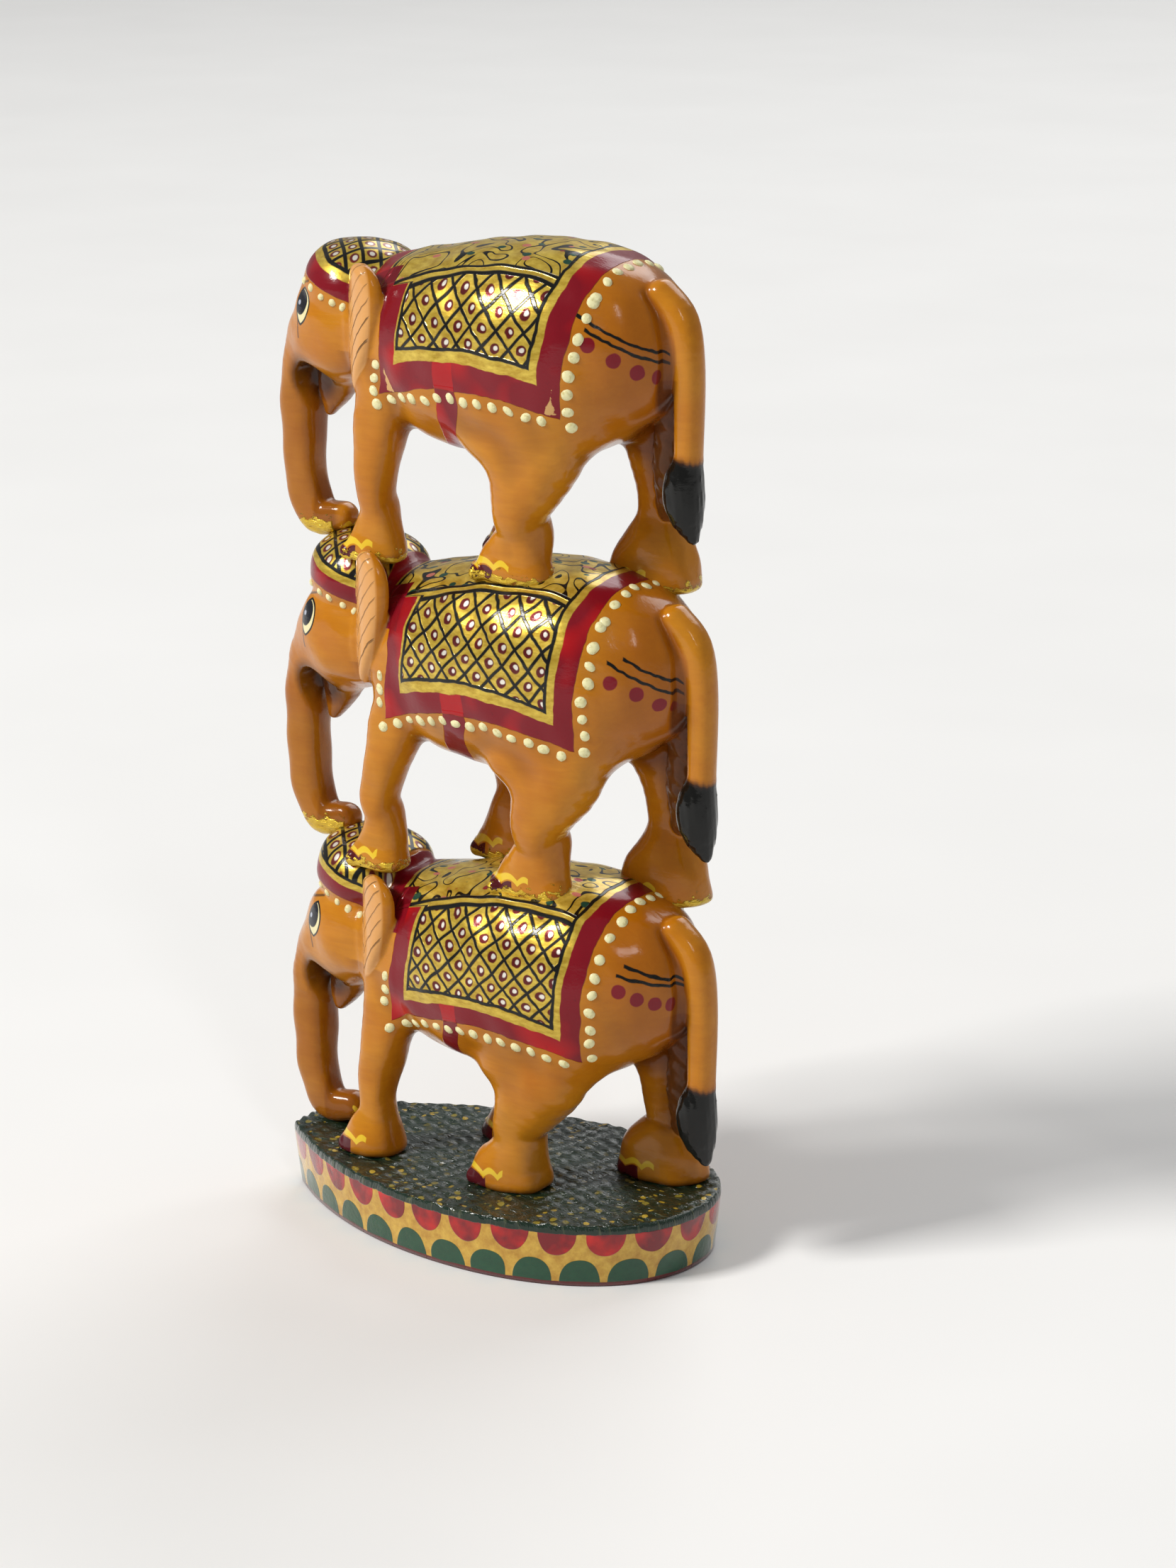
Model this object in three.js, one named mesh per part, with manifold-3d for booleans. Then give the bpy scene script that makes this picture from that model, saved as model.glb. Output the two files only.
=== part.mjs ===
// Three carved elephants standing on each other's backs on a boat-shaped plinth, as one block of
// wood is carved. Millimetres, +Z up. The elephants face -X, and the origin is the middle of the
// whole carving's outline, at the plinth's underside.

import * as THREE from 'three';
import { mergeVertices } from 'three/addons/utils/BufferGeometryUtils.js';
import Module from 'manifold-3d';

const wasm = await Module();
wasm.setup();

// ---- driving dimensions ----

const PLINTH = { front: -49, rear: 46, halfWidth: 27.5, frontHalfWidth: 6.5, height: 13, draft: 0.965 };
const PITCH = 62;            // from one elephant's feet to the next one's
const GAP = 0.3;             // left between neighbouring pieces of the same block
const NEAR_LEG_Y = -9.5;     // the near legs stand a little further in than the far ones
const FAR_LEG_Y = 12;
const BACK_SQUARENESS = 2.5; // exponent of the torso's cross-section; 2 is an ellipse
const FOOT_SINK = 3.2;       // how far a foot reaches down the back that it stands on
const PLINTH_SINK = 1.5;     // how far a foot is drawn into the plinth before it is trimmed
const EAR = { width: 11, thickness: 2.6, flare: 36, root: [-24.6, -10.4] };

// Torso sections, from chest to rump: place along X, top, underside and half width.
const TORSO = [
  { x: -25, top: 55, under: 36, half: 8.5 },
  { x: -20, top: 58.2, under: 28.5, half: 13.5 },
  { x: -10, top: 60.4, under: 23, half: 17.5 },
  { x: 3, top: 62.8, under: 21.5, half: 19.8 },
  { x: 15, top: 63.6, under: 22, half: 20.3 },
  { x: 26, top: 62.6, under: 24.5, half: 18.8 },
  { x: 35, top: 59.2, under: 29.5, half: 13.5 },
  { x: 40, top: 55, under: 34, half: 8 },
  { x: 42.5, top: 50.5, under: 39, half: 4 },
];

// Each elephant's length against the upper one's, the top of its cap, the foot and top of its ears,
// and where its legs stand: X of the ankle and X of the top of the leg.
const ELEPHANTS = {
  lower: {
    stretch: 1.04, capTop: 64.6, earSpan: [36.5, 59.5],
    nearFront: [-25.5, -19.5], farFront: [-5.5, -8], nearHind: [10, 19], farHind: [30, 26],
  },
  middle: {
    stretch: 1.04, capTop: 64, earSpan: [36, 63.5],
    nearFront: [-23.5, -15.5], farFront: [-6, -9], nearHind: [15, 22], farHind: [30.5, 26],
  },
  upper: {
    stretch: 1, capTop: 59.8, earSpan: [32.5, 58],
    nearFront: [-22, -18], farFront: [-1, -9], nearHind: [12.5, 18.5], farHind: [29.5, 26],
  },
};

const WOOD = { color: 0xb8762c, roughness: 0.3, metalness: 0 };
const GREEN_PAINT = { color: 0x1f3a2c, roughness: 0.3, metalness: 0 };

// ---- solids ----

function toSolid(geometry) {
  geometry.deleteAttribute('normal');
  geometry.deleteAttribute('uv');
  const merged = mergeVertices(geometry, 1e-4);
  return new wasm.Manifold(new wasm.Mesh({
    numProp: 3,
    vertProperties: new Float32Array(merged.attributes.position.array),
    triVerts: new Uint32Array(merged.index.array),
  }));
}

function toGeometry(solid) {
  const { vertProperties, triVerts } = solid.getMesh();
  const geometry = new THREE.BufferGeometry();
  geometry.setAttribute('position', new THREE.BufferAttribute(vertProperties, 3));
  geometry.setIndex(new THREE.BufferAttribute(triVerts, 1));
  geometry.computeVertexNormals();
  return geometry;
}

function join(solids) {
  return solids.reduce((all, solid) => all.add(solid));
}

function ellipsoid([x, y, z], [rx, ry, rz]) {
  const geometry = new THREE.SphereGeometry(1, 20, 14);
  geometry.scale(rx, ry, rz);
  geometry.translate(x, y, z);
  return toSolid(geometry);
}

// Moves a point of the unit circle onto a superellipse.
function squared(value, exponent) {
  return Math.sign(value) * Math.abs(value) ** (2 / exponent);
}

// A closed limb along a smooth curve in the elephant's long plane. Each station is its centre and
// its half sizes in that plane (along) and across it.
function limb(stations, { sides = 14, steps = 10, exponent = 2, grow = 0 } = {}) {
  const curve = new THREE.CatmullRomCurve3(stations.map((s) => new THREE.Vector3(...s.at)));
  const sizes = new THREE.CatmullRomCurve3(
    stations.map((s) => new THREE.Vector3(s.along, s.across, 0)));
  const geometry = new THREE.CylinderGeometry(1, 1, 1, sides, steps);
  const position = geometry.attributes.position;
  const acrossAxis = new THREE.Vector3(0, 1, 0);
  for (let i = 0; i < position.count; i += 1) {
    const t = 0.5 + position.getY(i);
    const centre = curve.getPoint(t);
    const size = sizes.getPoint(t);
    const alongAxis = curve.getTangent(t).cross(acrossAxis).normalize();
    const along = squared(position.getX(i), exponent) * (size.x + grow);
    const across = squared(position.getZ(i), exponent) * (size.y + grow);
    centre.addScaledVector(alongAxis, along).addScaledVector(acrossAxis, across);
    position.setXYZ(i, centre.x, centre.y, centre.z);
  }
  return toSolid(geometry);
}

// ---- the elephant's parts, with its feet at z = 0 ----

function torso(stretch, grow = 0) {
  const stations = TORSO.map(({ x, top, under, half }) => (
    { at: [x * stretch, 0, (top + under) / 2], along: (top - under) / 2, across: half }));
  return limb(stations, { sides: 28, steps: 16, exponent: BACK_SQUARENESS, grow });
}

function frontLeg([ankle, top], y, foot) {
  return limb([
    { at: [top, y * 0.85, 38], along: 7, across: 5.5 },
    { at: [(ankle + top) / 2, y * 0.95, 25], along: 4.6, across: 4.6 },
    { at: [ankle, y, 13], along: 3.7, across: 3.9 },
    { at: [ankle - 0.3, y, 6], along: 4.3, across: 4.3 },
    { at: [ankle - 1.2, y, foot], along: 6, across: 5.4 },
  ]);
}

function hindLeg([ankle, top], y, foot) {
  return limb([
    { at: [top, y * 0.85, 38], along: 13, across: 7.5 },
    { at: [(ankle + 2 * top) / 3, y * 0.95, 25], along: 10, across: 6.6 },
    { at: [ankle, y, 13], along: 5.6, across: 5 },
    { at: [ankle - 0.6, y, 7], along: 5.5, across: 4.8 },
    { at: [ankle - 2.4, y, foot], along: 8.6, across: 6 },
  ]);
}

// The far hind leg has a long foot with a square heel at the back of the block.
function farHindLeg([ankle, top], y, foot) {
  return limb([
    { at: [top, y * 0.85, 38], along: 12, across: 7.5 },
    { at: [top + 2, y * 0.95, 25], along: 8, across: 6.4 },
    { at: [ankle, y, 14], along: 4.6, across: 4.6 },
    { at: [ankle, y, 7], along: 6.2, across: 4.8 },
    { at: [ankle, y, foot], along: 9.6, across: 6 },
  ]);
}

function cap({ stretch, capTop }, grow = 0) {
  const rise = 9.6;
  const centre = [-30 * stretch, 0, capTop - rise];
  return ellipsoid(centre, [11.4 + grow, 12.6 + grow, rise + grow]);
}

function lowerLip(x) {
  return limb([
    { at: [x - 4, 0, 34], along: 3, across: 3.2 },
    { at: [x - 1.6, 0, 30], along: 2.4, across: 2.6 },
    { at: [x, 0, 26.4], along: 0.9, across: 1 },
  ], { sides: 10, steps: 4 });
}

function trunk(x, tip) {
  return limb([
    { at: [x + 9, 0, 46], along: 6, across: 7 },
    { at: [x + 2.8, 0, 37], along: 4.9, across: 5.4 },
    { at: [x + 0.3, 0, 28], along: 3.8, across: 4 },
    { at: [x, 0, 17], along: 3.3, across: 3.3 },
    { at: [x + 0.8, 0, 8], along: 3.4, across: 3 },
    { at: [x + 4.2, 0, tip + 3.4], along: 3.4, across: 3 },
    { at: [x + 9.5, 0, tip + 4.2], along: 3, across: 2.7 },
  ], { sides: 14, steps: 16 });
}

function headAndTrunk(stance, tip) {
  const { stretch } = stance;
  const skull = ellipsoid([-32.6 * stretch, 0, 43.2], [12.4, 11.6, 12]);
  return join([skull, cap(stance), lowerLip(-36.8 * stretch), trunk(-46.9 * stretch, tip)]);
}

// The ear is a thick leaf, pointed at its foot, that stands out and back from the head.
// `side` is -1 for the elephant's left ear and 1 for its right one.
function ear(side, { stretch, earSpan }, grow = 0) {
  const { width, flare, root } = EAR;
  const [foot, top] = earSpan;
  const height = top - foot;
  const thickness = EAR.thickness + 2 * grow;
  const leaf = new THREE.Shape();
  leaf.moveTo(0.15 * width, -grow);
  leaf.bezierCurveTo(-0.3 * width - grow, 0.3 * height, -0.3 * width - grow, height, 0.45 * width,
    height + grow);
  leaf.bezierCurveTo(1.3 * width + grow, height, 1.05 * width + grow, 0.35 * height, 0.15 * width,
    -grow);
  const geometry = new THREE.ExtrudeGeometry(leaf, {
    depth: thickness, bevelEnabled: false, curveSegments: 10,
  });
  geometry.translate(0, 0, -thickness / 2);
  geometry.rotateX(Math.PI / 2);
  geometry.rotateZ(side * THREE.MathUtils.degToRad(flare));
  geometry.translate(root[0] * stretch, -side * root[1], foot);
  return toSolid(geometry);
}

function ears(stance, grow) {
  return ear(-1, stance, grow).add(ear(1, stance, grow));
}

function tail(stretch) {
  const x = 44.8 * stretch;
  return limb([
    { at: [x - 5.6, 0, 55.5], along: 2.6, across: 3.2 },
    { at: [x - 1.4, 0, 50.5], along: 3, across: 3.2 },
    { at: [x, 0, 41], along: 2.6, across: 3 },
    { at: [x, 0, 26], along: 2.4, across: 2.7 },
    { at: [x - 0.4, 0, 20], along: 2.8, across: 3.6 },
    { at: [x + 0.2, 0, 13], along: 2.2, across: 3 },
    { at: [x + 1.1, 0, 8.5], along: 1, across: 1.4 },
  ], { sides: 12, steps: 14 });
}

// ---- the assembly ----

function mesh(name, solid, finish) {
  const made = new THREE.Mesh(toGeometry(solid), new THREE.MeshStandardMaterial(finish));
  made.name = name;
  return made;
}

// The plinth's plan is boat-shaped: a blunt bow under the trunk, curved sides and a rounded stern.
// Its sides lean in towards the underside.
function plinthSolid() {
  const { front, rear, halfWidth, frontHalfWidth, height, draft } = PLINTH;
  const widest = 8;
  const outline = new THREE.Shape();
  outline.moveTo(front, -frontHalfWidth);
  outline.bezierCurveTo(front + 11, -16, widest - 26, -halfWidth, widest, -halfWidth);
  outline.bezierCurveTo(widest + 18, -halfWidth, rear, -16, rear, 0);
  outline.bezierCurveTo(rear, 16, widest + 18, halfWidth, widest, halfWidth);
  outline.bezierCurveTo(widest - 26, halfWidth, front + 11, 16, front, frontHalfWidth);
  outline.quadraticCurveTo(front - 1.5, 0, front, -frontHalfWidth);
  const geometry = new THREE.ExtrudeGeometry(outline, {
    depth: height, bevelEnabled: false, curveSegments: 20,
  });
  const position = geometry.attributes.position;
  for (let i = 0; i < position.count; i += 1) {
    if (position.getZ(i) < height / 2) {
      position.setX(i, position.getX(i) * draft);
      position.setY(i, position.getY(i) * draft);
    }
  }
  return toSolid(geometry);
}

// What the feet and trunk of an elephant rest on, in that elephant's own frame: the back, cap and
// ears of the elephant below, or the level of the plinth's top.
function restBelow(below) {
  if (below) {
    return join([torso(below.stretch, GAP), cap(below, GAP), ears(below, GAP)])
      .translate([0, 0, -PITCH]);
  }
  return plinthSolid().scale([1.5, 1.5, 1]).translate([0, 0, GAP - PLINTH.height]);
}

// One elephant as five pieces. `below` is the elephant that it stands on, if any.
function elephant(name, stance, below) {
  const { stretch } = stance;
  const foot = below ? -FOOT_SINK : -PLINTH_SINK;
  const tip = below ? -1 : 0;
  const rest = restBelow(below);
  const standing = (solid) => solid.subtract(rest);
  const legs = [
    frontLeg(stance.nearFront, NEAR_LEG_Y, foot),
    frontLeg(stance.farFront, FAR_LEG_Y, foot),
    hindLeg(stance.nearHind, NEAR_LEG_Y, foot),
    farHindLeg(stance.farHind, FAR_LEG_Y, foot),
  ];
  const grownBody = join([torso(stretch, GAP), ...legs]);
  const grownEars = ears(stance, GAP);
  const body = standing(join([torso(stretch), ...legs])).subtract(grownEars);
  const head = standing(headAndTrunk(stance, tip)).subtract(grownBody).subtract(grownEars);
  const group = new THREE.Group();
  group.add(
    mesh(`${name}_body_and_legs`, body, WOOD),
    mesh(`${name}_head_and_trunk`, head, WOOD),
    mesh(`${name}_left_ear`, ear(-1, stance), WOOD),
    mesh(`${name}_right_ear`, ear(1, stance), WOOD),
    mesh(`${name}_tail`, tail(stretch).subtract(grownBody), WOOD),
  );
  return group;
}

const model = new THREE.Group();
model.add(mesh('plinth', plinthSolid(), GREEN_PAINT));
let level = PLINTH.height;
let below = null;
for (const [name, stance] of Object.entries(ELEPHANTS)) {
  const animal = elephant(name, stance, below);
  animal.position.z = level;
  model.add(animal);
  level += PITCH;
  below = stance;
}

const outlineBox = new THREE.Box3().setFromObject(model);
model.position.x = -(outlineBox.min.x + outlineBox.max.x) / 2;

export default model;
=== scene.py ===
"""Three carved and painted wooden elephants on a plinth, in the CAD model's frame.

Shapes are worked out in millimetres as smooth distance fields, one for each elephant, and
turned into meshes in metres. The paint is procedural, in each elephant's own millimetres.
"""
import math

import bmesh
import bpy
import numpy as np
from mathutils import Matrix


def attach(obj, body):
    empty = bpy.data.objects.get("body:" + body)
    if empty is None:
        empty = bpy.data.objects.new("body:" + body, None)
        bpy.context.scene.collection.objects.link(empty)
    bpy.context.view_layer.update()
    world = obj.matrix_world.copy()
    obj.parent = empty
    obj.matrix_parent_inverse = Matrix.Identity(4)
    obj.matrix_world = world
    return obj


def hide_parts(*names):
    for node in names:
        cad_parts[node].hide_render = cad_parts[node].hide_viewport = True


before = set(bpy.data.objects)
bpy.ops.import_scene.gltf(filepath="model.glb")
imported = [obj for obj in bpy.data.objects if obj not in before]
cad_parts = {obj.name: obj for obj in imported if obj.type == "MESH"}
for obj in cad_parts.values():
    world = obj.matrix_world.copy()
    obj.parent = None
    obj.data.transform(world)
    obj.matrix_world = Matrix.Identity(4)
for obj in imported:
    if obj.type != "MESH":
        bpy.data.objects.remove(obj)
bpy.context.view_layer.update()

import openvdb
from mathutils import Matrix, Vector
from mathutils.bvhtree import BVHTree

MM = 0.001
STEP = 0.42
SHIFT = 0.77
PLINTH_HEIGHT = 13.0
REACH = 5.0

# ---------------------------------------------------------------- the carving's dimensions, mm

# Body sections along X: top, underside and half width.
TORSO = np.array([
    (-27, 53, 38, 6), (-25, 55, 36, 9), (-20, 58.2, 28.5, 13.5), (-10, 60.4, 23, 17.5),
    (3, 62.8, 21.5, 19.8), (15, 63.6, 22, 20.3), (26, 62.6, 24.5, 18.8), (35, 59.2, 29.5, 13.8),
    (40, 55, 34, 9), (43, 50.5, 38.5, 4.5), (44.6, 47, 42, 1.5),
], float)

EAR_WIDTH, EAR_THICKNESS, EAR_FLARE, EAR_ROOT = 11.0, 3.4, math.radians(36), (-24.6, 10.4)
FAR_EAR_DROP = 12

ELEPHANTS = {
    "lower": dict(
        level=13.0, leafed=0.0, chips=(), stretch=1.04,
        cap_top=64.6, ear=(36.5, 59.5), nudge=0.5, tip=-1.0,
        soles=(-0.6, -0.6, -0.6, -0.6), splay=1.0, seed=1,
        near_front=(-25.5, -19.5), far_front=(-5.5, -8), near_hind=(10, 19), far_hind=(30, 26),
        cloth=dict(front=-17.6, front_lean=0.16, rear=29.4, rear_lean=0.12, middle=6, bottom=34.6,
                   sag=0.0075, red=(4.4, 3.7, 3.6), line=(5.6, 6.0, 5.3), fold=14.4),
        strap=(-2.4, 1.6), cap=(51.9, 0.33), eye=(-40.2, 46.0),
        lines=((37.2, 50.8), (44.7, 47.0), (36.3, 49.2), (45.9, 45.4)),
        spots=((36.6, 13.7, 46.1), (39.3, 11.4, 44.3), (41.7, 8.7, 43.2), (43.8, 6.0, 42.7)),
        diamond=(5.6, 5.9)),
    "middle": dict(
        level=75.0, leafed=1.0, chips=(), stretch=1.04,
        cap_top=64.0, ear=(36, 63.5), nudge=0.9, tip=-1.0,
        soles=(-2.4, -2.0, -1.8, -4.6), splay=0.76, seed=2,
        near_front=(-23.5, -15.5), far_front=(-6, -9), near_hind=(15, 22), far_hind=(30.5, 26),
        cloth=dict(front=-17.4, front_lean=0.14, rear=29.0, rear_lean=0.1, middle=6, bottom=35.4,
                   sag=0.0082, red=(4.3, 4.4, 3.9), line=(5.2, 6.8, 5.8), fold=13.6),
        strap=(-1.0, 4.6), cap=(52.5, 0.3), eye=(-40.0, 47.0),
        lines=((36.9, 50.3), (45.1, 43.9), (34.8, 49.5), (43.9, 42.6)),
        spots=((35.5, 14.4, 45.5), (39.3, 11.2, 43.1), (42.4, 7.9, 40.7), (44.4, 4.7, 39.7)),
        diamond=(5.8, 6.3)),
    "upper": dict(
        level=137.0, leafed=1.0, chips=((-14.7, 1), (26.7, -1)), stretch=1.0,
        cap_top=59.8, ear=(32.5, 58), nudge=0.1, tip=-0.4,
        soles=(-1.5, -1.5, -1.4, -4.2), splay=0.76, seed=3,
        near_front=(-22, -18), far_front=(-1, -9), near_hind=(12.5, 18.5), far_hind=(29.5, 26),
        cloth=dict(front=-15.9, front_lean=0.1, rear=27.3, rear_lean=0.16, middle=6, bottom=36.8,
                   sag=0.0075, red=(4.6, 5.5, 4.4), line=(5.3, 8.2, 6.4), fold=14.3),
        strap=(0.0, 4.9), cap=(50.9, 0.35), eye=(-38.2, 47.4),
        lines=((30.1, 53.2), (43.2, 44.8), (31.9, 50.5), (43.0, 43.2)),
        spots=((32.6, 15.2, 47.7), (36.6, 12.5, 44.7), (39.7, 9.2, 42.2), (42.2, 5.9, 40.9)),
        diamond=(6.0, 6.6)),
}


# ---------------------------------------------------------------- distance fields


def through(points, steps=5):
    """A smooth curve through rows of numbers."""
    p = np.array([points[0], *points, points[-1]], float)
    rows = []
    for a, b, c, d in zip(p, p[1:], p[2:], p[3:]):
        for t in np.arange(steps) / steps:
            rows.append(0.5 * (2 * b + (c - a) * t + (2 * a - 5 * b + 4 * c - d) * t ** 2
                               + (3 * b - a - 3 * c + d) * t ** 3))
    return np.array([*rows, p[-1]])


def soft_min(a, b, k):
    """The smaller of two fields, rounded where they meet over k millimetres."""
    if k <= 0:
        return np.minimum(a, b)
    h = np.maximum(k - np.abs(a - b), 0) / k
    return np.minimum(a, b) - h * h * k / 4


class Field:
    """A distance field on a grid over a box. Named parts keep a field of their own as well."""

    def __init__(self, low, high):
        self.low = np.array(low, float)
        count = np.ceil((np.array(high) - self.low) / STEP).astype(int) + 1
        self.axes = [self.low[i] + STEP * np.arange(count[i]) for i in range(3)]
        self.d = np.full(count, REACH, np.float32)
        self.parts = {}

    def window(self, low, high):
        """The part of the grid in a box, as slices and open coordinate arrays."""
        cut, grid = [], []
        for i in range(3):
            a, b = np.searchsorted(self.axes[i], (low[i] - REACH, high[i] + REACH))
            cut.append(slice(a, max(b, a + 1)))
            shape = [1, 1, 1]
            shape[i] = -1
            grid.append(self.axes[i][cut[i]].reshape(shape).astype(np.float32))
        return tuple(cut), grid

    def add(self, low, high, shape, k=1.0, part=None):
        cut, grid = self.window(low, high)
        d = np.minimum(shape(*grid), REACH).astype(np.float32)
        if part:
            own = self.parts.setdefault(part, np.full(self.d.shape, REACH, np.float32))
            own[cut] = np.minimum(own[cut], d)
        else:
            self.d[cut] = soft_min(self.d[cut], d, k)

    def carve(self, low, high, shape, k=1.0):
        cut, grid = self.window(low, high)
        d = np.minimum(shape(*grid), REACH)
        self.d[cut] = -soft_min(-self.d[cut], d, k)

    def sample(self, array, points):
        """Values of an array on the grid at points, by linear interpolation."""
        p = (points - self.low) / STEP
        i = np.clip(np.floor(p).astype(int), 0, np.array(array.shape) - 2)
        f = p - i
        total = 0
        for corner in range(8):
            o = np.array([corner & 1, corner >> 1 & 1, corner >> 2])
            weight = np.prod(np.where(o, f, 1 - f), axis=1)
            j = i + o
            total = total + weight * array[j[:, 0], j[:, 1], j[:, 2]]
        return total


def ellipsoid(centre, radii, tilt=0.0):
    """An ellipsoid, tilted nose up in the XZ plane by an angle in degrees."""
    ca, sa = math.cos(math.radians(tilt)), math.sin(math.radians(tilt))

    def shape(x, y, z):
        dx, dy, dz = x - centre[0], y - centre[1], z - centre[2]
        p = ((dx * ca + dz * sa), dy, (dz * ca - dx * sa))
        near = np.sqrt(sum((v / r) ** 2 for v, r in zip(p, radii)))
        steep = np.sqrt(sum((v / r ** 2) ** 2 for v, r in zip(p, radii)))
        return near * (near - 1) / np.maximum(steep, 1e-6)

    reach = max(radii[0], radii[2])
    low = (centre[0] - reach, centre[1] - radii[1], centre[2] - reach)
    high = (centre[0] + reach, centre[1] + radii[1], centre[2] + reach)
    return low, high, shape


def limb(stations, square=2.0, sole=None):
    """A tapering limb through stations (x, y, z, radius along X, radius along Y), cut off flat
    at the height of its sole if it has one."""
    chain = through(stations)
    widest = chain[:, 3:].max()

    def shape(x, y, z):
        best = None
        for a, b in zip(chain, chain[1:]):
            run = b[:3] - a[:3]
            t = ((x - a[0]) * run[0] + (y - a[1]) * run[1] + (z - a[2]) * run[2]) / (run @ run)
            t = np.clip(t, 0, 1)
            dx, dy, dz = (v - (a[i] + t * run[i]) for i, v in enumerate((x, y, z)))
            along, across = a[3] + t * (b[3] - a[3]), a[4] + t * (b[4] - a[4])
            flat = np.sqrt(dx * dx + dz * dz) / along
            ring = (flat ** square + np.abs(dy / across) ** square) ** (1 / square)
            d = (ring - 1) * np.minimum(along, across)
            best = d if best is None else np.minimum(best, d)
        return best if sole is None else -soft_min(-best, z - sole, 1.2)

    return chain[:, :3].min(0) - widest, chain[:, :3].max(0) + widest, shape


def torso(stretch):
    rows = through(TORSO, 8)
    xs = rows[:, 0] * stretch

    def shape(x, y, z):
        top, under, half = (np.interp(x, xs, rows[:, i]) for i in (1, 2, 3))
        middle, tall = (top + under) / 2, (top - under) / 2
        low = z < middle
        belly = np.where(low, 2.15, 2.4)
        ring = (np.abs(y / half) ** belly + np.abs((z - middle) / tall) ** belly) ** (1 / belly)
        d = (ring - 1) * np.minimum(half, tall)
        slope = np.gradient(d, STEP)
        d = d / np.clip(np.sqrt(sum(s * s for s in slope)), 0.6, 3)
        return np.maximum(d, np.maximum(xs[0] - x, x - xs[-1]))

    low = (xs[0], -rows[:, 3].max(), rows[:, 2].min())
    return low, (xs[-1], rows[:, 3].max(), rows[:, 1].max()), shape


def ear_outline(height):
    """The ear's leaf outline, from its foot up the front and down the back."""
    w, h = EAR_WIDTH, height
    curves = (((0.15 * w, 0), (-0.3 * w, 0.3 * h), (-0.3 * w, h), (0.45 * w, h)),
              ((0.45 * w, h), (1.3 * w, h), (1.05 * w, 0.35 * h), (0.15 * w, 0)))
    points = []
    for c in np.array(curves, float):
        for t in np.arange(14) / 14:
            points.append((1 - t) ** 3 * c[0] + 3 * t * (1 - t) ** 2 * c[1]
                          + 3 * t * t * (1 - t) * c[2] + t ** 3 * c[3])
    return np.array(points)


def ear(side, stretch, span, drop):
    """A standing leaf ear. Its front edge lies against the head and its back edge stands out."""
    foot, top = span
    outline = ear_outline(top - foot - drop)
    root = (EAR_ROOT[0] * stretch, side * EAR_ROOT[1])
    c, s = math.cos(EAR_FLARE), math.sin(EAR_FLARE)

    def shape(x, y, z):
        out = (y - root[1]) * side
        u, v, w = (x - root[0]) * c + out * s, z - foot, out * c - (x - root[0]) * s
        u, v = np.broadcast_arrays(u, v)
        best, inside = np.full(u.shape, 1e9), np.zeros(u.shape, bool)
        for a, b in zip(outline, np.roll(outline, -1, 0)):
            run = b - a
            t = np.clip(((u - a[0]) * run[0] + (v - a[1]) * run[1]) / (run @ run), 0, 1)
            best = np.minimum(best, (u - a[0] - t * run[0]) ** 2 + (v - a[1] - t * run[1]) ** 2)
            crosses = (a[1] > v) != (b[1] > v)
            with np.errstate(divide="ignore", invalid="ignore"):
                inside ^= crosses & (u < a[0] + (v - a[1]) * run[0] / run[1])
        flat = np.sqrt(best) * np.where(inside, -1, 1)
        dish = 0.045 * (u - 4.5) ** 2 - 0.5
        return -soft_min(-flat, EAR_THICKNESS / 2 - np.abs(w + dish), 1.6)

    centre = np.array((root[0] + 4, root[1] + side * 3, foot))
    return centre - (9, 8, 0), centre + (9, 8, top - foot), shape


def carve_head(f, look):
    """Skull, cheeks, brow and cap, then the trunk with the lip behind it."""
    s = look["stretch"]
    f.add(*ellipsoid((-31.4 * s, 0, 44.5), (11.6, 11.8, 12)), k=6)
    f.add(*ellipsoid((-36.6 * s, 0, 40.5), (8.0, 8.6, 11), -16), k=4)
    f.add(*limb([(-25 * s, 0, 43, 9, 11.3), (-31 * s, 0, 43, 9.6, 11.2),
                 (-36 * s, 0, 42, 7.0, 8.4)], 2.9), k=2)
    for side in (-1, 1):
        f.add(*ellipsoid((-37.0 * s, side * 5.8, 47.4), (3.4, 2.4, 4.0), -20), k=3)
    top = look["cap_top"]
    f.add(*ellipsoid((-30.3 * s, 0, top - 8.6), (11.8, 12.2, 8.8), 0), k=1.2)
    f.add(*ellipsoid((-35.6 * s, 0, top - 6.4), (5.0, 8.0, 5.4), 0), k=2.5)

    # The trunk hangs from the face and curls back at the tip.
    x = -46.4 * s
    tip = look["tip"]
    f.add(*limb([
        (x + 10, 0, 46, 5.6, 6.4), (x + 3.7, 0, 37.5, 5.3, 5.8), (x + 0.6, 0, 29, 4.4, 4.8),
        (x, 0, 18, 4.1, 4.0), (x + 0.5, 0, 9.5, 4.0, 3.7), (x + 3.4, 0, tip + 4.0, 3.7, 3.4),
        (x + 9.0, 0, tip + 4.2, 3.0, 2.9)], 2.7), k=4)
    for side in (-1, 1):
        f.carve(*ellipsoid((x + 6.6, side * 5.8, 30.4), (4.6, 5.6, 5.2), 25), k=1.2)
    f.carve(*limb([(x + 6.6, -12, 28, 2.6, 3), (x + 6.6, 12, 28, 2.6, 3)]), k=1.5)
    f.add(*limb([(x + 11.5, 0, 38, 5, 5), (x + 9.0, 0, 31, 3.9, 3.0),
                 (x + 6.9, 0, 25.2, 1.3, 1.3)], 3.4), k=0.8)


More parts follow.
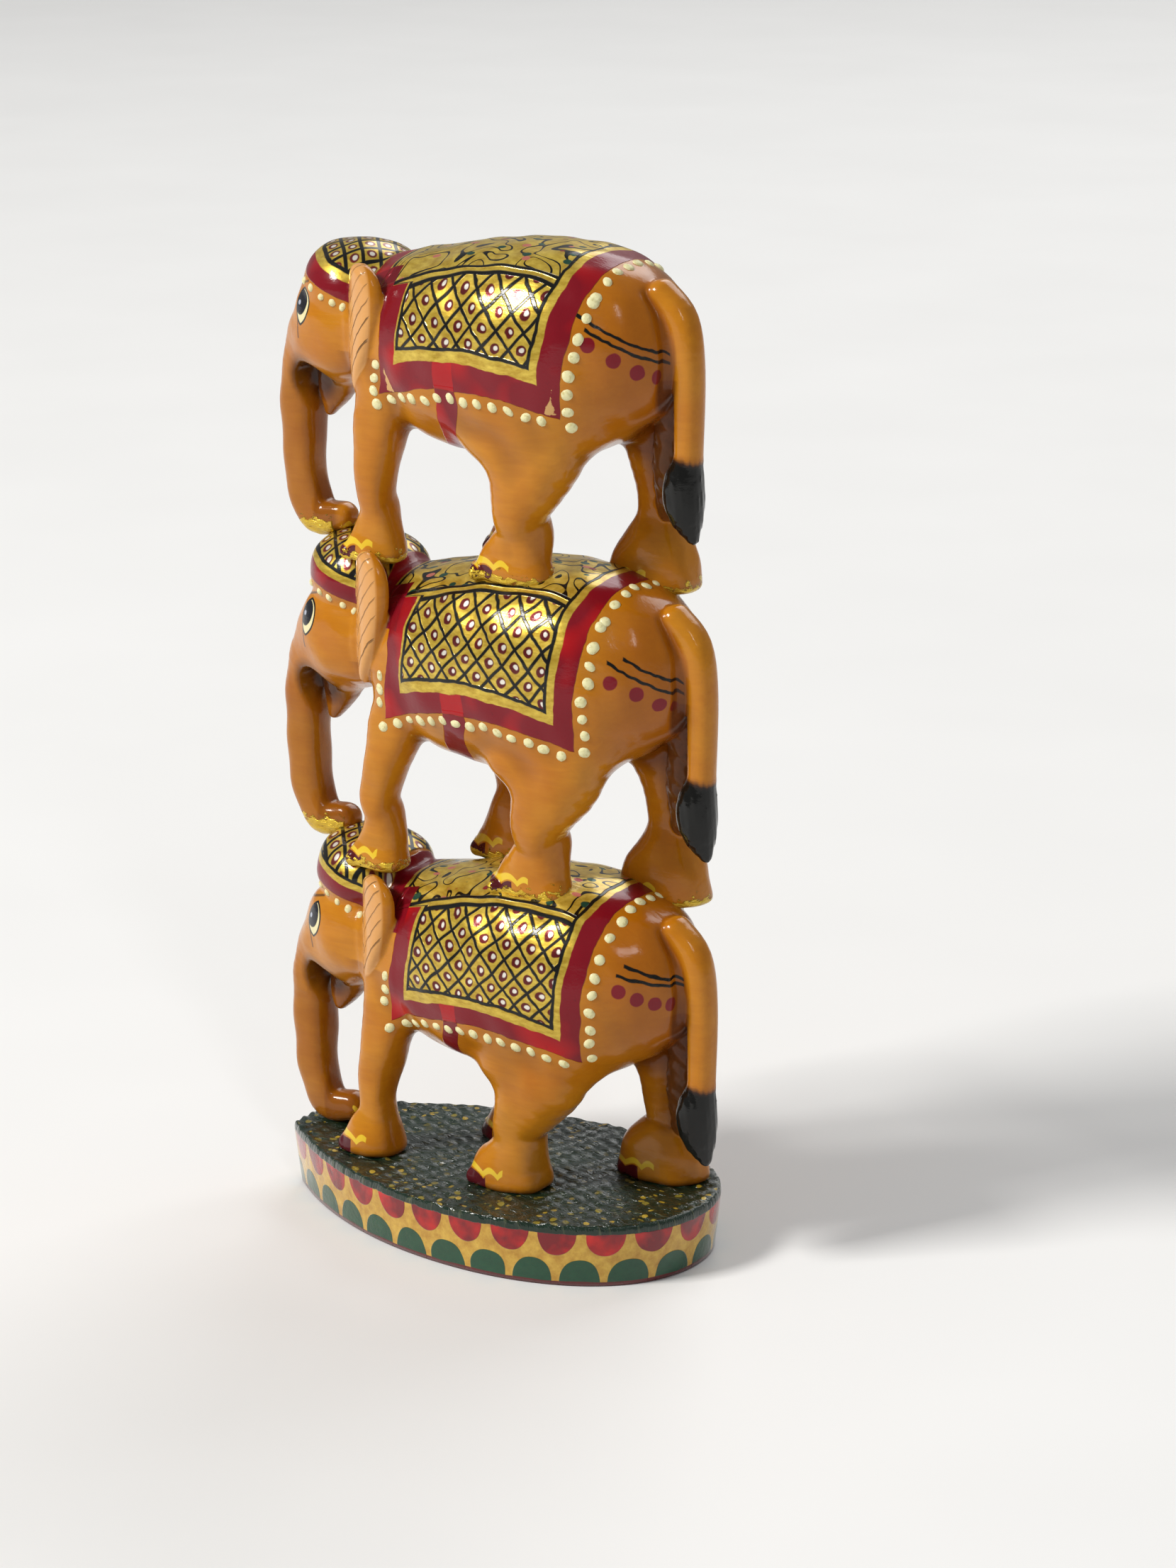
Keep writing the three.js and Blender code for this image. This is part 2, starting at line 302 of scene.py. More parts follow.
def carve_legs(f, look):
    """The four legs, from the X of each ankle and of the leg's top, with toenails.

    Returns each foot's (x, y, height of the sole, radius)."""
    feet = []
    splay = look["splay"]
    for (ankle, high), y, sole in ((look["near_front"], -9.5, look["soles"][0]),
                                   (look["far_front"], 12, look["soles"][1])):
        low_y = y * (0.35 + 0.65 * splay)
        f.add(*limb([
            (high, y * 0.85, 38, 7, 6), ((ankle + high) / 2, y, 25, 4.9, 5.0),
            (ankle + 0.3, y, 13.6, 3.6, 3.9), (ankle + 0.2, low_y, 8.2, 3.6, 3.9),
            (ankle - 0.6, low_y, sole + 3.8, 5.4, 5.0 * splay),
            (ankle - 1.2, low_y, sole + 0.5, 6.6, 5.8 * splay)], 2.7, sole), k=3)
        feet.append((ankle - 1.6, low_y, sole, 6.2))
    (ankle, high), y, sole = look["near_hind"], -9.5, look["soles"][2]
    low_y = y * (0.35 + 0.65 * splay)
    f.add(*limb([
        (high, y, 38, 13, 7.5), ((ankle + 2 * high) / 3, y, 25, 9.6, 6.8),
        (ankle + 0.4, y, 13.5, 5.5, 5.3), (ankle, low_y, 8.5, 5.2, 5),
        (ankle - 1.6, low_y, sole + 3.4, 7.2, 5.8 * splay),
        (ankle - 2.4, low_y, sole + 0.5, 8.8, 6.3 * splay)], 2.5, sole), k=3.5)
    feet.append((ankle - 3.0, low_y, sole, 8.2))
    (ankle, high), y, sole = look["far_hind"], 12, look["soles"][3]
    f.add(*limb([
        (high, y, 38, 11.5, 7.5), (high + 4.2, y, 26, 6.6, 6.4), (ankle + 1.2, y, 14, 4.2, 4.8),
        (ankle + 1.2, y, 8, 4.9, 5), (ankle + 0.4, y - 1, sole + 4.6, 8.4, 6),
        (ankle + 0.2, y - 1, sole + 0.5, 9.6, 6)], 2.9, sole), k=3)
    feet.append((ankle - 0.5, y - 1, sole, 8.6))
    for cx, cy, sole, r in feet:
        for turn in (-38, 0, 38):
            a = math.radians(turn)
            nail = (cx - r * 0.93 * math.cos(a), cy + r * 0.66 * math.sin(a), sole + 1.5)
            f.add(*ellipsoid(nail, (1.5, 1.9, 1.7)), k=0.8)
    return feet


def carve_tail(f, look):
    """The tail with its tuft, a groove on each side, and a web of rough wood behind it."""
    x = 44.8 * look["stretch"]
    f.add(*limb([
        (x - 5.6, 0, 55.5, 2.8, 3.4), (x - 1.4, 0, 50.5, 3.2, 3.3), (x + 0.2, 0, 41, 2.9, 3.1),
        (x, 0, 25, 2.6, 2.8)], 2.3), part="tail")
    for side in (-1, 1):
        f.carve(*limb([
            (x - 6.0, side * 3.9, 56, 0.7, 0.7), (x - 2.4, side * 4.3, 49.5, 1.1, 0.9),
            (x - 1.6, side * 4.3, 41, 1.3, 1.0), (x - 2.4, side * 4.3, 34, 1.0, 1.0)]), k=1.6)
    f.add(*limb([
        (x - 0.2, 0, 24, 2.8, 3.1), (x - 1.2, 0, 19.5, 3.9, 4.2), (x - 0.7, 0, 14.5, 3.4, 3.8),
        (x + 1.0, 0, 9.2, 1.0, 1.4)], 2.2), part="tuft")
    f.add(*limb([(x - 5.0, 1.8, 40, 2.8, 2.4), (x - 6.4, 4, 31, 3.3, 2.7),
                 (x - 8.4, 6, 21, 3.3, 2.8), (x - 10, 8.5, 12, 2.2, 2.2)]), part="web")


def knife_marks(f, look):
    """Shallow waves left by the knife, rough wood on the web and hair cuts in the tuft."""
    gx, gy, gz = (a.reshape(sh).astype(np.float32) for a, sh in
                  zip(f.axes, ((-1, 1, 1), (1, -1, 1), (1, 1, -1))))
    n = look["seed"] * 1.7
    marks = (np.sin(0.55 * gx + 0.3 * gz + n) * np.sin(0.5 * gy + 0.21 * gx)
             + np.sin(0.62 * gz + 0.33 * gy + n) * np.cos(0.45 * gx - 0.3 * gy))
    f.d += 0.13 * marks
    f.parts["web"] += 0.2 * np.sin(1.4 * gz + 1.3 * gx) * np.sin(1.7 * gy + 0.6 * gz)
    f.parts["tuft"] += 0.22 * np.abs(np.sin(2.3 * gy + 1.6 * gx + 0.25 * gz))


def carve_elephant(look):
    """The whole elephant as a field in its own frame, millimetres above its own foot plane."""
    s = look["stretch"]
    f = Field((-58 * s, -25, -7), (53 * s, 25, 70))
    f.add(*torso(s), k=0)
    carve_head(f, look)
    feet = carve_legs(f, look)
    belly_fold = (look["near_hind"][1] - 10.5 * s, -8.5, 25.5)
    f.add(*ellipsoid(belly_fold, (6.5, 7, 4.2), -12), k=4)
    carve_tail(f, look)
    for side, drop in ((-1, 0), (1, FAR_EAR_DROP)):
        f.add(*ear(side, s, look["ear"], drop), part="ear")
    knife_marks(f, look)
    f.bare = f.d.copy()
    for own in f.parts.values():
        f.d = soft_min(f.d, own, 0.5)
    return f, feet


def box_blur(array, radius):
    """The mean of an array over cubes of 2 * radius + 1 cells."""
    for axis in range(3):
        size = 2 * radius + 1
        pad = [(0, 0)] * 3
        pad[axis] = (radius + 1, radius)
        total = np.cumsum(np.pad(array, pad, mode="edge"), axis=axis, dtype=np.float64)
        upper = np.take(total, range(size, total.shape[axis]), axis=axis)
        lower = np.take(total, range(0, total.shape[axis] - size), axis=axis)
        array = ((upper - lower) / size).astype(np.float32)
    return array


def field_mesh(name, field):
    """The field's zero surface as a mesh in metres, with its vertices in millimetres as well."""
    grid = openvdb.FloatGrid(REACH)
    grid.copyFromArray(np.ascontiguousarray(field.d))
    points, triangles, quads = grid.convertToPolygons(isovalue=0.0, adaptivity=0.0)
    p = points.astype(float) * STEP + field.low
    mesh = bpy.data.meshes.new(name)
    faces = [tuple(q) for q in quads.tolist()] + [tuple(t) for t in triangles.tolist()]
    mesh.from_pydata((p * MM).tolist(), [], faces)
    bm = bmesh.new()
    bm.from_mesh(mesh)
    for _ in range(2):
        bmesh.ops.smooth_vert(bm, verts=bm.verts, factor=0.5, use_axis_x=True, use_axis_y=True,
                              use_axis_z=True)
    if bm.calc_volume(signed=True) < 0:
        bmesh.ops.reverse_faces(bm, faces=bm.faces)
    bm.to_mesh(mesh)
    bm.free()
    for polygon in mesh.polygons:
        polygon.use_smooth = True
    return mesh, p


def attribute(mesh, name, values):
    data = mesh.attributes.new(name, "FLOAT", "POINT").data
    data.foreach_set("value", np.asarray(values, np.float32))


def place(name, mesh, location=(0, 0, 0)):
    o = bpy.data.objects.new(name, mesh)
    bpy.context.scene.collection.objects.link(o)
    o.location = location
    return o


# ---------------------------------------------------------------- paint


def srgb(r, g, b):
    def line(v):
        v /= 255
        return v / 12.92 if v <= 0.04045 else ((v + 0.055) / 1.055) ** 2.4
    return (line(r), line(g), line(b), 1.0)


class Num:
    """A number socket that can be written in sums."""

    def __init__(self, paint, socket):
        self.paint, self.socket = paint, socket

    def _op(self, kind, *others):
        return self.paint.math(kind, self, *others)

    def __add__(self, o): return self._op("ADD", o)
    def __radd__(self, o): return self._op("ADD", o)
    def __sub__(self, o): return self._op("SUBTRACT", o)
    def __rsub__(self, o): return self.paint.math("SUBTRACT", o, self)
    def __mul__(self, o): return self._op("MULTIPLY", o)
    def __rmul__(self, o): return self._op("MULTIPLY", o)
    def __truediv__(self, o): return self._op("DIVIDE", o)
    def __neg__(self): return self._op("MULTIPLY", -1)
    def __abs__(self): return self._op("ABSOLUTE")
    def min(self, o): return self._op("MINIMUM", o)
    def max(self, o): return self._op("MAXIMUM", o)
    def fract(self): return self._op("FRACT")
    def sin(self): return self._op("SINE")
    def root(self): return self._op("SQRT")

    def held(self, low=0, high=1):
        """The number kept between two limits."""
        return self.max(low).min(high)

    def on(self, soft=0.16):
        """1 where the number is above nought, with an edge `soft` wide."""
        n = self.paint.math("MULTIPLY_ADD", self, 1 / soft, 0.5)
        n.socket.node.use_clamp = True
        return n


class Paint:
    """A material with node arithmetic in the piece's own millimetres."""

    def __init__(self, name):
        self.material = bpy.data.materials.new(name)
        self.material.use_nodes = True
        self.tree = self.material.node_tree
        self.tree.nodes.clear()
        self.shader = self.node("ShaderNodeBsdfPrincipled")
        out = self.node("ShaderNodeOutputMaterial")
        self.tree.links.new(self.shader.outputs["BSDF"], out.inputs["Surface"])
        self.place = self.node("ShaderNodeTexCoord").outputs["Object"]
        scale = self.node("ShaderNodeVectorMath", operation="SCALE")
        self.tree.links.new(self.place, scale.inputs[0])
        scale.inputs["Scale"].default_value = 1000
        self.point = scale.outputs[0]
        split = self.node("ShaderNodeSeparateXYZ")
        self.tree.links.new(self.point, split.inputs[0])
        self.x, self.y, self.z = (Num(self, o) for o in split.outputs)
        self.colour = None

    def node(self, kind, **settings):
        n = self.tree.nodes.new(kind)
        for key, value in settings.items():
            setattr(n, key, value)
        return n

    def feed(self, socket, value):
        if isinstance(value, Num):
            self.tree.links.new(value.socket, socket)
        elif isinstance(value, bpy.types.NodeSocket):
            self.tree.links.new(value, socket)
        else:
            socket.default_value = value

    def math(self, kind, *values):
        n = self.node("ShaderNodeMath", operation=kind)
        for socket, value in zip(n.inputs, values):
            self.feed(socket, value)
        return Num(self, n.outputs[0])

    def value(self, name):
        return Num(self, self.node("ShaderNodeAttribute", attribute_name=name).outputs["Fac"])

    def vector(self, x, y, z=0.0):
        n = self.node("ShaderNodeCombineXYZ")
        for socket, value in zip(n.inputs, (x, y, z)):
            self.feed(socket, value)
        return n.outputs[0]

    def noise(self, size, detail=2.0, rough=0.5, at=None, skew=0.0):
        """Noise with features about `size` millimetres across, from 0 to 1."""
        n = self.node("ShaderNodeTexNoise")
        self.feed(n.inputs["Vector"], self.point if at is None else at)
        n.inputs["Scale"].default_value = 1 / size
        n.inputs["Detail"].default_value = detail
        n.inputs["Roughness"].default_value = rough
        n.inputs["Distortion"].default_value = skew
        return Num(self, n.outputs["Fac"])

    def cells(self, size, at):
        n = self.node("ShaderNodeTexVoronoi")
        self.feed(n.inputs["Vector"], at)
        n.inputs["Scale"].default_value = 1 / size
        n.inputs["Randomness"].default_value = 0.75
        return Num(self, n.outputs["Distance"]), Num(self, n.outputs["Color"])

    def near(self, centre):
        n = self.node("ShaderNodeVectorMath", operation="DISTANCE")
        self.feed(n.inputs[0], self.point)
        n.inputs[1].default_value = centre
        return Num(self, n.outputs["Value"])

    def mix(self, mask, under, over):
        n = self.node("ShaderNodeMix", data_type="RGBA")
        self.feed(n.inputs["Factor"], mask)
        self.feed(n.inputs[6], under)
        self.feed(n.inputs[7], over)
        return n.outputs[2]

    def lay(self, mask, tone):
        """Lays a tone over the colour so far, where the mask is 1."""
        self.colour = self.mix(mask, self.colour, tone)

    def finish(self, colour, rough, height=None, metal=None, depth=1.0, coat=0.5):
        self.feed(self.shader.inputs["Base Color"], colour)
        self.feed(self.shader.inputs["Roughness"], rough)
        if metal is not None:
            self.feed(self.shader.inputs["Metallic"], metal)
        self.shader.inputs["Coat Weight"].default_value = coat
        self.shader.inputs["Coat Roughness"].default_value = 0.07
        self.shader.inputs["Specular IOR Level"].default_value = 0.12
        if height is not None:
            bump = self.node("ShaderNodeBump")
            bump.inputs["Strength"].default_value = 1.0
            bump.inputs["Distance"].default_value = depth * MM
            self.feed(bump.inputs["Height"], height)
            for socket in ("Normal", "Coat Normal"):
                self.tree.links.new(bump.outputs[0], self.shader.inputs[socket])
        return self.material


WOOD_MID, WOOD_PALE, WOOD_DARK = srgb(180, 104, 8), srgb(202, 136, 32), srgb(128, 56, 3)
SHADE_DARK, MAROON, RED = srgb(66, 22, 6), srgb(122, 10, 26), srgb(196, 12, 10)
GOLD, GOLD_DEEP, BLACK = srgb(226, 198, 84), srgb(178, 144, 44), srgb(14, 14, 12)
CREAM, YELLOW, LEAF_GREEN = srgb(228, 218, 168), srgb(226, 190, 50), srgb(28, 74, 58)
PINK, WHITE = srgb(206, 120, 100), srgb(232, 226, 214)
RUMP_SHADE, SHADE_BROWN, GULLET_SHADE = srgb(146, 72, 2), srgb(96, 34, 4), srgb(44, 18, 8)
OLD_RED, BUD_RED, CHIPPED = srgb(70, 10, 22), srgb(150, 36, 30), srgb(206, 160, 100)
DOT_RING, CAP_RING, TOENAIL = srgb(92, 24, 26), srgb(110, 40, 40), srgb(82, 18, 26)
IRIS, GLINT_LIGHT = srgb(20, 22, 30), srgb(170, 176, 190)
EAR_LIT_FACE, EAR_CUT_SHADE = srgb(222, 164, 100), srgb(60, 34, 16)
RECESS_DEEP_SHADE, RECESS_SOFT_SHADE = srgb(46, 20, 10), srgb(112, 58, 24)
LEAF_DEEP, LEAF_BRIGHT = srgb(170, 122, 20), srgb(250, 216, 70)
CAP_DIAMOND = (4.5, 5.2)


def span(a, b):
    return (a * a + b * b).root()


def diamond(u, w, wide, tall):
    """The place inside a diamond of a lattice in millimetres, and how near it is to an edge."""
    fu, fw = u.fract() - 0.5, w.fract() - 0.5
    return (fu + fw) * (wide / 2), (fu - fw) * (tall / 2), abs(fu).max(abs(fw)) - 0.5


class ElephantPaint(Paint):
    """One elephant's finish, laid on in the painter's order over the bare wood."""

    def __init__(self, name, look):
        super().__init__(name)
        self.look, self.s, self.off = look, look["stretch"], look["seed"] * 37.0
        self.drift = self.vector(self.x + self.off, self.y, self.z + self.off)
        self.wander = (self.noise(9, 1, at=self.drift) - 0.5) * 1.6
        self.shake = (self.noise(2.2, 1, at=self.drift) - 0.5) * 0.5
        self.hand_x = self.x + self.wander + self.shake
        self.hand_z = self.z - self.wander + self.shake
        self.side = abs(self.y)
        self.hollow = self.value("hollow")
        self.on_body = self.value("torso").on(0.3)
        self.on_head = self.value("head").on(0.3)
        grain_at = self.vector(self.x * 0.1 + self.off, self.y * 0.7, self.z * 0.8)
        self.grain = self.noise(1.1, 4, 0.6, grain_at, 0.6)
        self.cloud = self.noise(14, 3, 0.55, self.drift)
        self.worn = self.noise(1.6, 4, 0.65, self.drift)
        self.foil = self.noise(2.4, 4, 0.6, self.vector(self.x, self.y, self.z * 2.5))
        bright = (self.noise(11, 1, at=self.drift) * 4 - 2.1).held()
        red = self.mix(bright * 0.9, MAROON, RED)
        self.red = self.mix((self.worn * 5 - 3.2).held() * 0.5, red, OLD_RED)
        self.gold = self.mix((self.foil * 2.4 - 0.8).held(), GOLD_DEEP, GOLD)

    def wood(self):
        """Lacquered wood with soft grain, and painted shade in the hollows, in the mouth, behind
        and down the trunk, and on the rump away from the light.
        """
        s, x, z, cloud = self.s, self.x, self.z, self.cloud
        self.colour = self.mix((cloud * 1.7 - 0.35).held(), WOOD_MID, WOOD_PALE)
        self.lay((self.grain * 2.2 - 0.75).held() * 0.2, WOOD_DARK)
        # Painted shade: darker where the surface is enclosed, in creases and hollows.
        hollow_shade = (self.hollow * 4.2 - 0.38 + (cloud - 0.5) * 0.5).held()
        self.lay(hollow_shade * 0.88, SHADE_DARK)
        # Painted shade between the legs and under the belly, in the mouth and behind the trunk,
        # and darker towards the lower trunk.
        enclosed_shade = (self.value("enclosed_shade") * 6 - 0.1 + (cloud - 0.5) * 1.2).held()
        mouth = ((7.0 - self.near((-39.2 * s, 0, 30.5))) / 3.5).held()
        behind_trunk = ((x + 43.4 * s).min(33 - z).min(-36 - x) / 1.8).held(0, 0.8)
        trunk = ((-37 * s - x) / 5).held() * ((44 - z) / 16).held() * 0.5
        self.lay(enclosed_shade.max(mouth).max(behind_trunk).max(trunk) * 0.76, SHADE_BROWN)
        # Painted shade deep in the mouth.
        gullet = self.near((-39.6 * s, 0, 33.0)).min(self.near((-39.6 * s, -5, 32.6)))
        self.lay(((6.6 - gullet) / 3).held() * 0.85, GULLET_SHADE)
        # Painted shade on the upper rump, the side turned away from the light.
        rump = ((x - 27 * s) / 11).held() * ((z - 22) / 10).held(0.15, 0.75)
        rump = rump * (cloud + 0.3).min(0.85) * (0.4 - self.value("tail")).on(0.6)
        self.lay(rump, RUMP_SHADE)

    def saddle_cloth(self):
        """The cloth, by the distances in from its front, rear and bottom edges."""
        cloth, x, z, on_body = self.look["cloth"], self.hand_x, self.hand_z, self.on_body
        rise, bow = z - 35, x - cloth["middle"]
        over_back = (cloth["fold"] - 0.6 - self.side).min(z - 52).held() * 8
        front = x - cloth["front"] - rise * cloth["front_lean"] + over_back
        rear = rise * cloth["rear_lean"] + cloth["rear"] - x
        bottom = z - cloth["bottom"] + bow * bow * cloth["sag"]
        red, line = cloth["red"], cloth["line"]
        gold_in = (front - red[0]).min(rear - red[2]).min(bottom - red[1])
        self.frame_in = (front - line[0]).min(rear - line[2]).min(bottom - line[1])
        self.past_rear = -rear
        self.cover = front.min(rear).min(bottom).on() * on_body

        # Girth strap below the cloth, and the strap's brighter end on the border.
        lo, hi = self.look["strap"]
        hang = x + (34 - z).max(0) * (-self.y).on(2) * 0.4
        strap = (hang - lo).min(hi - hang)
        self.under = strap.min(0.8 - bottom).min(self.z - 19).on() * on_body
        self.lay(self.under, self.red)
        self.lay(self.cover, self.red)
        self.lay(strap.min(bottom).min(red[1] - bottom).on() * on_body * 0.5, RED)
        for edge, way in self.look["chips"]:
            chip = ((x - edge) * way).min(5.2 - (x - edge) * (way * 1.9) - (z - 34.2) * 0.8)
            chip = chip.min(z - 33.9) + (self.worn - 0.5) * 2
            self.lay((chip - 0.5).on(), CHIPPED)
        self.inside = gold_in.on() * on_body
        self.lay(self.inside, self.gold)

    def lattice(self):
        """A ringed white dot in each diamond on the side of the cloth."""
        x, z = self.hand_x, self.hand_z
        wide, tall = self.look["diamond"]
        self.fold = (self.side - self.look["cloth"]["fold"]).max(50 - z)
        self.panel = self.frame_in.min(self.fold)
        dx, dz, edge = diamond(x / wide + z / tall, x / wide - z / tall, wide, tall)
        self.bars = edge * 4.0 + 0.3
        inner = self.panel.on(0.2) * self.on_body
        self.lay((1.04 - span(dx, dz) + self.shake).on(0.2) * inner, DOT_RING)
        self.lay((0.46 - span(dx - 0.2 + self.shake, dz - 0.12)).on(0.2) * inner, WHITE)

    def back_panel(self):
        """Scrolls, leaves and buds over the back."""
        top_at = self.vector(self.x + self.wander * 2, self.y + self.wander, self.off)
        scroll = 0.09 - abs((self.noise(7.5, 0, 0.5, top_at, 0.8) * 5.0).fract() - 0.5)
        far, pick = self.cells(3.7, self.vector(self.x, self.y * 1.5, self.off))
        on_back = self.frame_in.min(-self.fold - 1.5).on(0.2) * self.on_body
        self.lay((scroll * 8).on(0.2) * on_back, BLACK)
        bud = self.mix((pick - 0.52).on(0.02), LEAF_GREEN, BUD_RED)
        bud = self.mix((pick - 0.66).on(0.02), bud, PINK)
        self.lay((0.27 - far).on(0.05) * on_back, bud)

    def cloth_lines(self):
        """The black lines: diamonds, and the frames round the side and back panels."""
        rims = (0.36 - abs(self.panel)).max(0.3 - abs((self.fold + 1.4).max(-self.frame_in)))
        rims = rims.max(0.36 - abs(self.frame_in))
        self.ink = self.bars.min(self.panel).max(rims).on() * self.inside
        self.lay(self.ink, BLACK)

    def cap(self):
        """Gold cap with a black lattice, a gold rim and a maroon band down to the neck."""
        x, y, on_head = self.x, self.y, self.on_head
        level, slope = self.look["cap"]
        up = self.z + (x + 34 * self.s) * slope - level + self.shake * 0.6
        self.band = (up - 1.5).on() * on_head
        self.lay(self.band, self.red)
        neck = (x + 25).min(-13.5 - x).min(self.z - 49).min(self.side - 9.5)
        self.lay(neck.on() * self.on_body, MAROON)
        rim = (up - 5.0).on() * on_head
        self.lay(rim, self.gold)
        wide, tall = CAP_DIAMOND
        u, w = x / wide + y / tall + self.wander * 0.2, x / wide - y / tall
        dx, dy, edge = diamond(u, w, wide, tall)
        crown = (up - 6.8).on() * on_head
        self.lay((0.95 - span(dx, dy) + self.shake).on(0.2) * crown, CAP_RING)
        self.lay((0.5 - span(dx - 0.15, dy)).on(0.2) * crown, WHITE)
        ink = (edge * 3.8 + 0.42).min(up - 6.6).max(0.35 - abs(up - 6.8)).on() * on_head
        self.lay(ink, BLACK)
        self.cap_gold = rim * (-ink + 1)

    def rump(self):
        """Two lines to the tail with spots under them."""
        x, z, lines = self.hand_x, self.hand_z, self.look["lines"]
        on_rump = self.past_rear.on() * self.on_body
        for (x0, z0), (x1, z1) in (lines[:2], lines[2:]):
            lean = (z1 - z0) / (x1 - x0)
            stroke = (0.32 - abs(z - z0 - (x - x0) * lean)).min(x - x0).min(x1 + 0.6 - x)
            self.lay(stroke.on() * on_rump, BLACK)
        for sx, sy, sz in self.look["spots"]:
            spot = self.near((sx, -sy, sz)).min(self.near((sx, sy, sz)))
            self.lay((1.45 - spot + self.shake).on(0.2), MAROON)

    def eye(self):
        """An upright almond, cream under a large dark iris with a painted glint of light, with
        brow and tear strokes.
        """
        x, z = self.x - self.look["eye"][0], self.z - self.look["eye"][1]
        v = z / 3.7
        lean = x / 3.5 - v * 0.14 + self.shake * 0.1
        almond = (1.12 - span(abs(lean) + 0.42, v)) * 3.4
        iu, iv = lean + 0.2, v - 0.2
        iris = (0.60 - (iu * iu + iv * iv * 0.75).root()) * 3.4
        glint = (0.13 - span(iu + 0.18, iv + 0.05)) * 3.4
        on_face = self.on_head * (self.side - 1.5).on()
        self.lay(almond.on() * on_face, BLACK)
        self.lay((almond - 0.42).on() * on_face, CREAM)
        self.lay(iris.min(almond).on() * on_face, IRIS)
        # Painted highlight: a small pale glint on the iris.
        self.lay(glint.on() * on_face, GLINT_LIGHT)
        tear = (0.22 - abs(x + 2.0 + z * 0.12)).min(-2.6 - z).min(z + 6.4)
        self.lay(tear.on() * on_face * 0.7, BLACK)
        brow = (0.24 - abs(z - 4.6 - x * 0.3)).min(2.6 - abs(x + 0.4))
        self.lay(brow.on() * on_face * 0.7, BLACK)

    def ear_cuts(self):
        """The ear's front face made paler with painted light, with fine curved cuts darkened with
        painted shade; its edge stays wood.
        """
        c, s = math.cos(EAR_FLARE), math.sin(EAR_FLARE)
        out, back = self.side - EAR_ROOT[1], self.x - EAR_ROOT[0] * self.s
        across, front = back * c + out * s, out * c - back * s
        on_ear = self.value("ear").on(0.3)
        # Painted light: the ear's front face is paler than its rim, as the lit side.
        self.lay(on_ear * (front - 0.4).on(0.5) * 0.75, EAR_LIT_FACE)
        arcs = (self.z / 3.4 - abs(across - 2.0) * 0.34 + self.shake * 0.5).fract()
        cuts = (0.05 - abs(arcs - 0.5)).on(0.04) * on_ear * (front - 0.6).on(0.4)
        self.cuts = cuts * (self.cloud * 3 - 0.9).held(0.25, 1)
        # Painted shade inside the fine cuts.
        self.lay(self.cuts * 0.75, EAR_CUT_SHADE)

    def tail(self):
        """The black tuft, and the rough bare wood beside the tail, darkened with painted shade as
        a recess.
        """
        tuft = self.value("tuft")
        self.lay(tuft.on(0.3), BLACK)
        self.off_tuft = -tuft.on(0.3) + 1
        groove = (3.0 - self.value("tail_gap")).min(self.x - 36 * self.s)
        groove = groove.min(-self.value("tail")).min(-tuft).on(0.8)
        groove = groove * ((47 - self.z) / 9).held() * (self.z - 12).on(4)
        # Rough bare wood in the web and groove, darkened with painted shade.
        self.recess = self.value("web").on(0.6).max(groove)
        self.lay(self.recess * 0.85, self.mix(self.worn, RECESS_DEEP_SHADE, RECESS_SOFT_SHADE))

    def feet(self):
        """Painted shade about the bottoms of the feet, scalloped anklets, toenails, and gold leaf
        where feet and trunk tip rest.
        """
        toe, low, foil = self.value("toe"), self.value("low"), self.foil
        # Painted shade: darker towards the bottom of each foot, where it meets what it stands on.
        self.lay(((1.9 - low + (self.cloud - 0.5) * 2) / 2.2).held(0, 0.6), SHADE_DARK)
        edge = abs((self.x * 0.9 + self.y * 1.1).sin()) * 1.04 + 2.6
        anklet = (toe + 2.5).min(edge + 1.2 - low).min(low - edge)
        self.lay(anklet.on() * self.off_tuft, YELLOW)
        self.lay((toe - 1.4).min(edge - 0.3 - low).on(), TOENAIL)
        crumpled = 1.7 - low + (foil - 0.5) * 7 + (self.worn - 0.5) * 6
        tip = (-38 - self.x).min(3.4 - self.z + (foil - 0.5) * 9).on(0.4)
        self.leafed = (crumpled.on(0.3) * self.off_tuft).max(tip) * self.look["leafed"]
        self.lay(self.leafed, self.mix(foil, LEAF_DEEP, LEAF_BRIGHT))

    def surface(self):
        """The finished material, with relief from the layers of paint and foil."""
        height = (self.cover * 0.10 + self.under * 0.08 + self.band * 0.10 + self.ink * 0.09
                  - self.cuts * 0.35 + self.grain * 0.05 + self.worn * 0.04
                  + self.leafed * self.foil * 0.6)
        gilt = (self.inside * (-self.ink + 1)).max(self.cap_gold).max(self.leafed)
        paint = self.cover.max(self.band).max(self.under)
        rough = self.grain * 0.16 + 0.15 + paint * 0.08 + self.hollow * 0.5 + self.recess * 0.3
        return self.finish(self.colour, rough, height, metal=gilt * 0.5, coat=0.4)


def elephant_paint(name, look):
    paint = ElephantPaint(name, look)
    for layer in (paint.wood, paint.saddle_cloth, paint.lattice, paint.back_panel,
                  paint.cloth_lines, paint.cap, paint.rump, paint.eye, paint.ear_cuts,
                  paint.tail, paint.feet):
        layer()
    return paint.surface()


